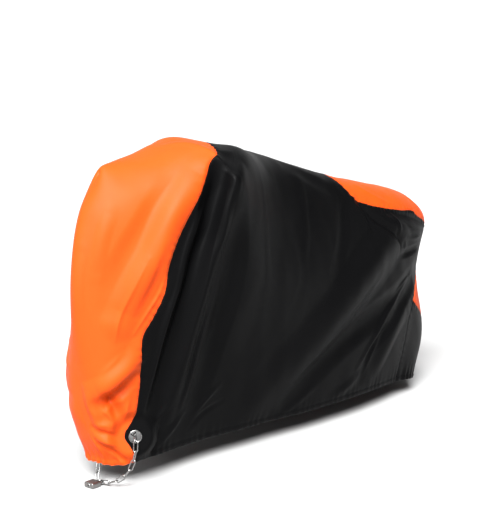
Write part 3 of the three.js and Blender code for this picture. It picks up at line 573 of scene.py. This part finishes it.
def tail_grid(columns=64, edge_rows=130, strip_rows=70):
    edge = by_length(EDGE_CURVE, edge_rows + 1)
    strip = by_length(STRIP_CURVE, strip_rows + 1)
    outer = np.concatenate([edge, strip[1:]])
    crown = straight((TAIL_EDGE[0][0], 0), (SIDE, 0), edge_rows + 1)
    back = straight((SIDE, 0), (SIDE, REAR_DIP[-1][1]), strip_rows + 1)
    inner = np.concatenate([crown, back[1:]])
    dip = by_length(DIP_CURVE, columns + 1)
    first = straight(outer[0], inner[0], columns + 1)
    return coons(outer, inner, first, dip).transpose(1, 0, 2)


def rear_grid(rows=90, columns=64):
    dip = by_length(DIP_CURVE, columns + 1)
    hem = straight(REAR_EDGE[-1], (SIDE, HEM_DROP), columns + 1)
    edge = by_length(REAR_CURVE, rows + 1)
    centre = straight(REAR_DIP[-1], (SIDE, HEM_DROP), rows + 1)
    return coons(dip, hem, edge, centre)


def mirrored(grid):
    """The same grid on the right side, its columns reversed."""
    other = grid[:, ::-1].copy()
    other[..., 0] = ROUND - other[..., 0]
    return other


def both_sides(grid):
    """A left half grid that ends on the centre line, joined to its mirror image."""
    return np.concatenate([grid, mirrored(grid)[:, 1:]], axis=1)


# Meshes
def add_object(name, mesh, material):
    item = bpy.data.objects.new(name, mesh)
    bpy.context.scene.collection.objects.link(item)
    mesh.materials.append(material)
    for polygon in mesh.polygons:
        polygon.use_smooth = True
    return item


# The hem's turned edge, in mm: radius of the turn, rows round it, and heights of the rows of its inner strip
TURN_RADIUS = 1.5
TURN_ROWS = 5
TURN_IN = (5, 11, 16)
SLOPE_ROWS = 3  # rows of the grid over which the cloth's direction at the edge is taken


def turned_hem(points):
    """A grid with rows added below its last one: the hem's round edge and its turned-in strip."""
    last = points[-1]
    down = unit(last - points[-1 - SLOPE_ROWS])
    around = unit(np.gradient(last, axis=0))
    inward = unit(np.cross(around, down))
    rows = []
    for n in range(1, TURN_ROWS + 1):
        turn = math.pi * n / TURN_ROWS
        rows.append(last + (inward * (1 - math.cos(turn)) + down * math.sin(turn)) * TURN_RADIUS * MM)
    rows += [rows[-1] - down * up * MM for up in TURN_IN]
    return np.concatenate([points, np.array(rows)])


def cut_hole(points, quads, centre, facing, radius):
    """Leaves out the quads within a round hole and draws the ones at its edge back to it."""
    away = points - centre
    off = away @ facing
    radial = away - off[:, None] * facing
    distance = np.linalg.norm(radial, axis=1)
    inside = (distance < radius) & (np.abs(off) < radius)
    kept = quads[~inside[quads].all(1)]
    points[inside] += unit(radial[inside]) * (radius - distance[inside])[:, None]
    return kept


def grid_mesh(name, points, material, hole):
    """A quad mesh of a grid of points, with UVs in metres along its rows and columns."""
    rows, columns = points.shape[:2]
    across = np.linalg.norm(np.diff(points, axis=1), axis=2).mean(0)
    down = np.linalg.norm(np.diff(points, axis=0), axis=2).mean(1)
    u = np.concatenate([[0], np.cumsum(across)])
    v = np.concatenate([[0], np.cumsum(down)])
    ids = np.arange(rows * columns).reshape(rows, columns)
    quads = np.stack([ids[:-1, :-1], ids[1:, :-1], ids[1:, 1:], ids[:-1, 1:]], -1).reshape(-1, 4)
    flat = points.reshape(-1, 3).copy()
    if hole is not None:
        quads = cut_hole(flat, quads, *hole)
    mesh = bpy.data.meshes.new(name)
    mesh.from_pydata(flat.tolist(), [], quads.tolist())
    layer = mesh.uv_layers.new(name="cloth")
    grid_u, grid_v = np.meshgrid(u, v)
    uv = np.stack([grid_u.ravel(), -grid_v.ravel()], -1)
    corners = np.zeros(len(mesh.loops), np.int32)
    mesh.loops.foreach_get("vertex_index", corners)
    layer.data.foreach_set("uv", uv[corners].ravel().astype(np.float32))
    mesh.validate()
    return add_object(name, mesh, material)


# Materials: the weave's bands and its bump in metres, soft patches of tone, plain threads and brushed metal
WEAVE = {"scale": 320, "distortion": 0.4, "bump": 0.25, "depth": 0.0004}
PATCHES = {"scale": 6, "detail": 3, "from": 0.42, "to": 0.75, "most": 0.35}
PLAIN = {"roughness": 0.6, "scale": 90, "dark": 0.8}
BRUSH = {"scale": 220, "detail": 4, "least": 0.7, "most": 1.4}


def node_material(name):
    material = bpy.data.materials.new(name)
    material.use_nodes = True
    nodes, links = material.node_tree.nodes, material.node_tree.links
    return material, nodes, links, nodes["Principled BSDF"]


def set_inputs(node, values):
    for field, value in values.items():
        node.inputs[field].default_value = value


def mix_tones(nodes, links, factor, colour, dark, shader):
    """A mix of two tones for the shader's base colour."""
    tone = nodes.new("ShaderNodeMix")
    tone.data_type = "RGBA"
    set_inputs(tone, {"A": (*colour, 1), "B": (*dark, 1)})
    links.new(factor, tone.inputs["Factor"])
    links.new(tone.outputs["Result"], shader.inputs["Base Color"])


def cloth_material(name, colour, dark, roughness, specular):
    """Woven cloth: bands of thread both ways in the bump, and soft patches of tone."""
    material, nodes, links, shader = node_material(name)
    set_inputs(shader, {"Roughness": roughness, "Specular IOR Level": specular})
    place = nodes.new("ShaderNodeTexCoord")
    threads = nodes.new("ShaderNodeMath")
    threads.operation = "MULTIPLY"
    for side, direction in enumerate(("X", "Y")):
        wave = nodes.new("ShaderNodeTexWave")
        wave.wave_type = "BANDS"
        wave.bands_direction = direction
        set_inputs(wave, {"Scale": WEAVE["scale"], "Distortion": WEAVE["distortion"]})
        links.new(place.outputs["UV"], wave.inputs["Vector"])
        links.new(wave.outputs["Fac"], threads.inputs[side])
    cloud = nodes.new("ShaderNodeTexNoise")
    set_inputs(cloud, {"Scale": PATCHES["scale"], "Detail": PATCHES["detail"]})
    links.new(place.outputs["Object"], cloud.inputs["Vector"])
    spread = nodes.new("ShaderNodeMapRange")
    set_inputs(spread, {"From Min": PATCHES["from"], "From Max": PATCHES["to"], "To Max": PATCHES["most"]})
    links.new(cloud.outputs["Fac"], spread.inputs["Value"])
    mix_tones(nodes, links, spread.outputs["Result"], colour, dark, shader)
    bump = nodes.new("ShaderNodeBump")
    set_inputs(bump, {"Strength": WEAVE["bump"], "Distance": WEAVE["depth"]})
    links.new(threads.outputs["Value"], bump.inputs["Height"])
    links.new(bump.outputs["Normal"], shader.inputs["Normal"])
    return material


def plain_material(name, colour):
    """A matt finish with small patches of tone."""
    material, nodes, links, shader = node_material(name)
    set_inputs(shader, {"Roughness": PLAIN["roughness"]})
    cloud = nodes.new("ShaderNodeTexNoise")
    set_inputs(cloud, {"Scale": PLAIN["scale"]})
    dark = [PLAIN["dark"] * c for c in colour]
    mix_tones(nodes, links, cloud.outputs["Fac"], colour, dark, shader)
    return material


def metal_material(name, colour, roughness, scratch):
    """Metal whose roughness varies, stretched along its scratches."""
    material, nodes, links, shader = node_material(name)
    set_inputs(shader, {"Metallic": 1, "Base Color": (*colour, 1)})
    noise = nodes.new("ShaderNodeTexNoise")
    set_inputs(noise, {"Scale": BRUSH["scale"], "Detail": BRUSH["detail"]})
    place = nodes.new("ShaderNodeTexCoord")
    stretch = nodes.new("ShaderNodeMapping")
    set_inputs(stretch, {"Scale": scratch})
    links.new(place.outputs["Object"], stretch.inputs["Vector"])
    links.new(stretch.outputs["Vector"], noise.inputs["Vector"])
    spread = nodes.new("ShaderNodeMapRange")
    set_inputs(spread, {"To Min": roughness * BRUSH["least"], "To Max": roughness * BRUSH["most"]})
    links.new(noise.outputs["Fac"], spread.inputs["Value"])
    links.new(spread.outputs["Result"], shader.inputs["Roughness"])
    return material


CLOTHS = {
    "orange_cloth": cloth_material(
        "orange cloth", (0.58, 0.06, 0.0046), (0.49, 0.044, 0.0032), roughness=0.52, specular=0.13
    ),
    "black_cloth": cloth_material(
        "black cloth", (0.0022, 0.0022, 0.0024), (0.0012, 0.0012, 0.0013), roughness=0.44, specular=0.045
    ),
}
PLATED = metal_material("plated steel", (0.3, 0.3, 0.295), roughness=0.26, scratch=(1, 1, 1))
BRUSHED = metal_material("brushed steel", (0.24, 0.24, 0.235), roughness=0.38, scratch=(1, 30, 1))
THREADS = {
    "orange_cloth": plain_material("orange thread", (0.8, 0.2, 0.05)),
    "black_cloth": plain_material("black thread", (0.012, 0.012, 0.013)),
}
# The keyhole is not cut: a near-black disc stands in for it, painted shade where its recess would be dark
KEYHOLE_SHADE = plain_material("keyhole painted shade", (0.01, 0.01, 0.01))


def make_panels():
    """The five panels, each with its flat width and length and its flat area, in metres."""
    hole = (EYELET_CENTRE, EYELET_FACING, EYELET["cut"] * MM)
    side = side_grid()
    plans = [
        ("hood_cloth", "front_panel", "orange_cloth", front_grid(), None, (0.8, 1.35), 0.78),
        ("left_cloth", "side_panel_left", "black_cloth", side, hole, (2.1, 1.25), 1.75),
        ("right_cloth", "side_panel_right", "black_cloth", mirrored(side), None, (2.1, 1.25), 1.7),
        ("tail_cloth", "tail_panel", "orange_cloth", both_sides(tail_grid()), None, (0.62, 1.2), 0.55),
        ("rear_cloth", "rear_panel", "black_cloth", both_sides(rear_grid()), None, (0.75, 0.5), 0.28),
    ]
    for name, node, slot, grid, cut, flat, area in plans:
        points = cloth_points(grid[..., 0], grid[..., 1])
        if name != "tail_cloth":
            points = turned_hem(points)
        item = grid_mesh(name, points, CLOTHS[slot], cut)
        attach(item, BODY)
        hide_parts(node)


# Stitches, in mm. A pitch has a number of steps, and a stitch runs over all but one of them. It is raised by
# a share of its radius, and its taper is given as shares of its length and radius.
STITCH = {"pitch": 4.6, "radius": 0.32, "beside": 4.5}
STITCH_STEPS = 4
STITCH_RAISED = 0.6
STITCH_SIDES = 5
STITCH_TAPER = ((0, 0.4), (0.25, 1), (0.75, 1), (1, 0.4))
STITCH_TURN = (0.3, 0.2, 0.93)  # sets how the sides lie round a stitch
SLOPE_STEP = 0.01  # in stations and drops

# Stations between which the hem is stitched, and the ends of the stitched top seam as station and drop
BLACK_HEMS = [(2.25, 8.98), (13.02, 19.75), (9.1, 12.9)]
ORANGE_HEM = (-2.05, 2.05)
HEM_POINTS = 200
TOP_STITCHES = [(4.95, 0.03), (7.5, 0.03)]
TOP_POINTS = 60


def beside_seam(line, offset):
    """A line of station and drop moved sideways over the surface by an offset in metres."""
    points = surface(line)
    around = (base_points(line[:, 0] + SLOPE_STEP, line[:, 1]) - points) / SLOPE_STEP
    lower = base_points(line[:, 0], np.minimum(line[:, 1] + SLOPE_STEP, HEM_DROP))
    upper = base_points(line[:, 0], line[:, 1] - SLOPE_STEP)
    down = (lower - upper) / (2 * SLOPE_STEP)
    tangent = unit(np.gradient(points, axis=0))
    side = unit(np.cross(surface_normals(line), tangent)) * offset
    moved = line.copy()
    for i in range(len(line)):
        jacobian = np.stack([around[i], down[i]], -1)
        moved[i] += np.linalg.lstsq(jacobian, side[i], rcond=None)[0]
    moved[:, 1] = np.clip(moved[:, 1], SLOPE_STEP, HEM_DROP)
    return moved


def stitch_rows(line, offset=0.0):
    """Starts and ends of stitches along a line of station and drop, or beside it by an offset in metres."""
    spaced, _ = equal_steps(line, STITCH["pitch"] / STITCH_STEPS)
    moved = beside_seam(spaced, offset)
    lift = surface_normals(moved) * STITCH["radius"] * STITCH_RAISED * MM
    points = cloth_points(moved[:, 0], moved[:, 1]) + lift
    first = np.arange(STITCH_STEPS, len(points) - 2 * STITCH_STEPS + 1, STITCH_STEPS)
    return points[first], points[first + STITCH_STEPS - 1]


def ring_quads(near, far, sides):
    """Faces between two rings of vertices, given the first vertex of each."""
    return [(near + k, near + (k + 1) % sides, far + (k + 1) % sides, far + k) for k in range(sides)]


def stitches(name, rows, material):
    """One mesh of thin rods with tapered ends, one for each stitch."""
    sides = STITCH_SIDES
    turns = (np.arange(sides) * 2 * np.pi / sides)[:, None]
    last = len(STITCH_TAPER) - 1
    vertices, faces = [], []
    for starts, ends in rows:
        for start, end in zip(starts, ends):
            along = unit(end - start)
            across = unit(np.cross(along, STITCH_TURN))
            other = np.cross(along, across)
            ring = across * np.cos(turns) + other * np.sin(turns)
            first = len(vertices)
            for share, wide in STITCH_TAPER:
                vertices += list(start + (end - start) * share + ring * wide * STITCH["radius"] * MM)
            for band in range(last):
                near = first + band * sides
                faces += ring_quads(near, near + sides, sides)
            faces.append(tuple(first + sides - 1 - k for k in range(sides)))
            faces.append(tuple(first + last * sides + k for k in range(sides)))
    mesh = bpy.data.meshes.new(name)
    mesh.from_pydata([tuple(v) for v in vertices], [], faces)
    return add_object(name, mesh, material)


def hem_line(start, end):
    line = straight((start, HEM_DROP), (end, HEM_DROP), HEM_POINTS)
    return beside_seam(line, -HEM["band"] * MM)


def make_stitches():
    """Thread beside the seams of the front, tail and rear, on the top seam and along the hem."""
    beside = STITCH["beside"] * MM
    curves = (FRONT_CURVE, EDGE_CURVE, REAR_CURVE)
    black = [stitch_rows(curve, -beside) for curve in curves]
    black += [stitch_rows(mirrored_line(curve), beside) for curve in curves]
    black += [stitch_rows(hem_line(*stations)) for stations in BLACK_HEMS]
    black.append(stitch_rows(straight(*TOP_STITCHES, TOP_POINTS)))
    orange = [stitch_rows(hem_line(*ORANGE_HEM)), stitch_rows(STRIP_CURVE, beside)]
    orange.append(stitch_rows(mirrored_line(STRIP_CURVE), -beside))
    sewn = [("black_stitches", "black_cloth", black), ("orange_stitches", "orange_cloth", orange)]
    for name, slot, rows in sewn:
        item = stitches(name, rows, THREADS[slot])
        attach(item, BODY)


# Steel parts, in mm: places are from the frame's origin and above the floor
LINK = {"radius": 2.0, "bend": 7.3, "half_straight": 11.95}
SHACKLE = {"radius": 3.2, "arc_x": 826.7, "bend": 12.5, "y": 20, "z": 10.4, "long_x": 855, "short_x": 847}
BOW_POINTS = 25
SHACKLE_SIDES = 20
LOCK_END = {"x": 877, "y": 20, "z": 10.4}
KEY_PLATE = {"radius": 7.5, "thick": 0.35}
# Size of the near-black disc painted on the lock's end as the keyhole's shade, in mm
KEYHOLE_SHADE_DISC = {"radius": 3.4, "thick": 0.5}
DISC_SUNK = 0.5


def tube(points, radius, sides=14, closed=False):
    """Vertices and faces of a round rod along points in a plane, closed on itself or capped."""
    points = np.array(points, float)
    if closed:
        tangents = unit(np.roll(points, -1, 0) - np.roll(points, 1, 0))
    else:
        tangents = unit(np.gradient(points, axis=0))
    plane = unit(np.linalg.svd(points - points.mean(0))[2][2])
    turns = np.arange(sides) * 2 * np.pi / sides
    inward = np.cross(tangents, plane)
    ring = plane * np.cos(turns)[None, :, None] + inward[:, None] * np.sin(turns)[None, :, None]
    vertices = (points[:, None] + ring * radius).reshape(-1, 3)
    count = len(points)
    faces = []
    for a in range(count if closed else count - 1):
        near, far = a * sides, (a + 1) % count * sides
        faces += [(near + k, far + k, far + (k + 1) % sides, near + (k + 1) % sides) for k in range(sides)]
    if not closed:
        faces.append(tuple(range(sides)))
        faces.append(tuple((count - 1) * sides + k for k in reversed(range(sides))))
    return vertices, faces


def stadium(half_straight, bend, arc_steps=12):
    """Points round a flat ring with straight sides, in its own plane."""
    turns = np.linspace(-np.pi / 2, np.pi / 2, arc_steps + 1)
    end = np.stack([np.sin(turns) * bend, np.cos(turns) * bend + half_straight], -1)
    side = np.stack([np.full(3, bend), np.linspace(half_straight, -half_straight, 5)[1:-1]], -1)
    return np.concatenate([end, side, -end, -side])


def link_ring(node):
    """A fine ring in the place of one chain link: its centre and axes are those of the node's vertices."""
    at = np.array([node.matrix_world @ v.co for v in node.data.vertices])
    centre = at.mean(0)
    axes = np.linalg.svd(at - centre, full_matrices=False)[2]
    flat = stadium(LINK["half_straight"], LINK["bend"]) * MM
    return centre + flat[:, 1:] * axes[0] + flat[:, :1] * axes[1]


def join(name, parts, material):
    vertices, faces = [], []
    for part_vertices, part_faces in parts:
        first = len(vertices)
        vertices += [tuple(v) for v in part_vertices]
        faces += [tuple(first + k for k in face) for face in part_faces]
    mesh = bpy.data.meshes.new(name)
    mesh.from_pydata(vertices, [], faces)
    mesh.validate()
    return add_object(name, mesh, material)


def make_chain():
    names = sorted(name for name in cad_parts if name.startswith("chain_link"))
    rings = [tube(link_ring(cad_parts[name]), LINK["radius"] * MM, closed=True) for name in names]
    chain = join("chain", rings, PLATED)
    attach(chain, BODY)
    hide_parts(*names)


def make_shackle():
    turns = np.linspace(-np.pi / 2, np.pi / 2, BOW_POINTS)
    s = SHACKLE
    bow = [(s["arc_x"] - math.cos(t) * s["bend"], s["y"] + math.sin(t) * s["bend"], s["z"]) for t in turns]
    line = [(s["short_x"], s["y"] - s["bend"], s["z"]), *bow, (s["long_x"], s["y"] + s["bend"], s["z"])]
    points = np.array(line) * MM + (0, 0, FLOOR)
    shackle = join("shackle_rod", [tube(points, s["radius"] * MM, SHACKLE_SIDES)], PLATED)
    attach(shackle, "shackle")
    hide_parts("padlock_shackle")


def disc(plan, sides=28):
    """A thin round plate on the lock's end, which reaches a little into it."""
    turns = np.arange(sides) * 2 * np.pi / sides
    x, y, z, radius = LOCK_END["x"], LOCK_END["y"], LOCK_END["z"], plan["radius"]
    vertices = [(px * MM, (y + radius * math.cos(t)) * MM, (z + radius * math.sin(t)) * MM + FLOOR)
                for px in (x - DISC_SUNK, x + plan["thick"]) for t in turns]
    faces = ring_quads(0, sides, sides)
    faces += [tuple(reversed(range(sides))), tuple(range(sides, 2 * sides))]
    return vertices, faces


def make_keyhole():
    plate = join("key_plate", [disc(KEY_PLATE)], PLATED)
    # A near-black disc on the plate is painted shade in place of the keyhole's recess
    hole = join("keyhole_shade_disc", [disc(KEYHOLE_SHADE_DISC)], KEYHOLE_SHADE)
    for item, slot in ((plate, "plated_steel"), (hole, "brushed_steel")):
        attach(item, "lock")


def finish_lock():
    """The lock's body is the CAD mesh in brushed steel."""
    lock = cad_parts["padlock_body"]
    lock.data.materials.clear()
    lock.data.materials.append(BRUSHED)


# Section of the eyelet's outer half from its inner edge outward, as radius and height in mm
EYELET_SECTION = [(19, 0), (19.1, 1.3), (19.8, 2.3), (21.2, 2.7), (22.6, 2.3), (23.4, 1.3), (22.6, 0.7)]
EYELET_STEPS = 56


def make_eyelet_ring():
    """A rolled ring on the outside and inside of the cloth."""
    across = unit(np.cross(EYELET_FACING, (0.0, 0, 1)))
    other = np.cross(EYELET_FACING, across)
    profile = EYELET_SECTION + [(r, -h) for r, h in reversed(EYELET_SECTION[1:])]
    count = len(profile)
    vertices, faces = [], []
    for a, t in enumerate(np.linspace(0, 2 * np.pi, EYELET_STEPS, endpoint=False)):
        radial = across * math.cos(t) + other * math.sin(t)
        vertices += [EYELET_CENTRE + radial * r * MM + EYELET_FACING * h * MM for r, h in profile]
        faces += ring_quads(a * count, (a + 1) % EYELET_STEPS * count, count)
    ring = join("eyelet_ring", [(vertices, faces)], PLATED)
    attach(ring, BODY)
    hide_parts("eyelet")


# Studio: a grey floor in metres, a wide sun, and a sky that is brightest at the horizon. Heights in the sky
# are the Z of a direction. It dims toward one side, between two shares of that direction.
FLOOR_SIZE = 90
FLOOR_GREY = 0.38
SUN_STRENGTH = 12.0
SUN_WIDTH = math.radians(38)
LIGHT_FROM = Vector((0.72, 0.42, 0.92)).normalized()
HORIZON = 0.14
HORIZON_FADE = 0.12
WHITE = 1.3
OVERHEAD = 0.62
DIM_SIDE = (-0.5, 0.87, 0)
DIM_SHARES = (0.15, 0.5)
DIMMEST = 0.1


def range_node(nodes, low, high, at_low, at_high):
    node = nodes.new("ShaderNodeMapRange")
    set_inputs(node, {"From Min": low, "From Max": high, "To Min": at_low, "To Max": at_high})
    return node


def make_world():
    """White near the horizon, and dimmer above it and toward the rear on the left."""
    world = bpy.data.worlds.new("studio")
    bpy.context.scene.world = world
    world.use_nodes = True
    nodes, links = world.node_tree.nodes, world.node_tree.links
    place = nodes.new("ShaderNodeTexCoord")
    split = nodes.new("ShaderNodeSeparateXYZ")
    fade = range_node(nodes, HORIZON, HORIZON + HORIZON_FADE, WHITE, OVERHEAD)
    links.new(place.outputs["Generated"], split.inputs["Vector"])
    links.new(split.outputs["Z"], fade.inputs["Value"])
    toward = nodes.new("ShaderNodeVectorMath")
    toward.operation = "DOT_PRODUCT"
    toward.inputs[1].default_value = DIM_SIDE
    links.new(place.outputs["Generated"], toward.inputs[0])
    dim = range_node(nodes, *DIM_SHARES, 1.0, DIMMEST)
    links.new(toward.outputs["Value"], dim.inputs["Value"])
    both = nodes.new("ShaderNodeMath")
    both.operation = "MULTIPLY"
    links.new(fade.outputs["Result"], both.inputs[0])
    links.new(dim.outputs["Result"], both.inputs[1])
    links.new(both.outputs["Value"], nodes["Background"].inputs["Strength"])
    set_inputs(nodes["Background"], {"Color": (1, 1, 1, 1)})


def make_studio():
    mesh = bpy.data.meshes.new("floor")
    s = FLOOR_SIZE / 2
    mesh.from_pydata([(-s, -s, FLOOR), (s, -s, FLOOR), (s, s, FLOOR), (-s, s, FLOOR)], [], [(0, 1, 2, 3)])
    material, _, _, shader = node_material("pale floor")
    grey = (FLOOR_GREY, FLOOR_GREY, FLOOR_GREY, 1)
    set_inputs(shader, {"Base Color": grey, "Roughness": 1, "Specular IOR Level": 0})
    floor = add_object("floor", mesh, material)
    make_world()
    data = bpy.data.lights.new("key", "SUN")
    data.energy = SUN_STRENGTH
    data.angle = SUN_WIDTH
    light = bpy.data.objects.new("key", data)
    bpy.context.scene.collection.objects.link(light)
    light.rotation_mode = "QUATERNION"
    light.rotation_quaternion = (-LIGHT_FROM).to_track_quat("-Z", "Y")


make_camera()
make_studio()
make_panels()
make_stitches()
make_eyelet_ring()
make_chain()
make_shackle()
make_keyhole()
finish_lock()
bpy.context.scene.view_settings.view_transform = "Standard"
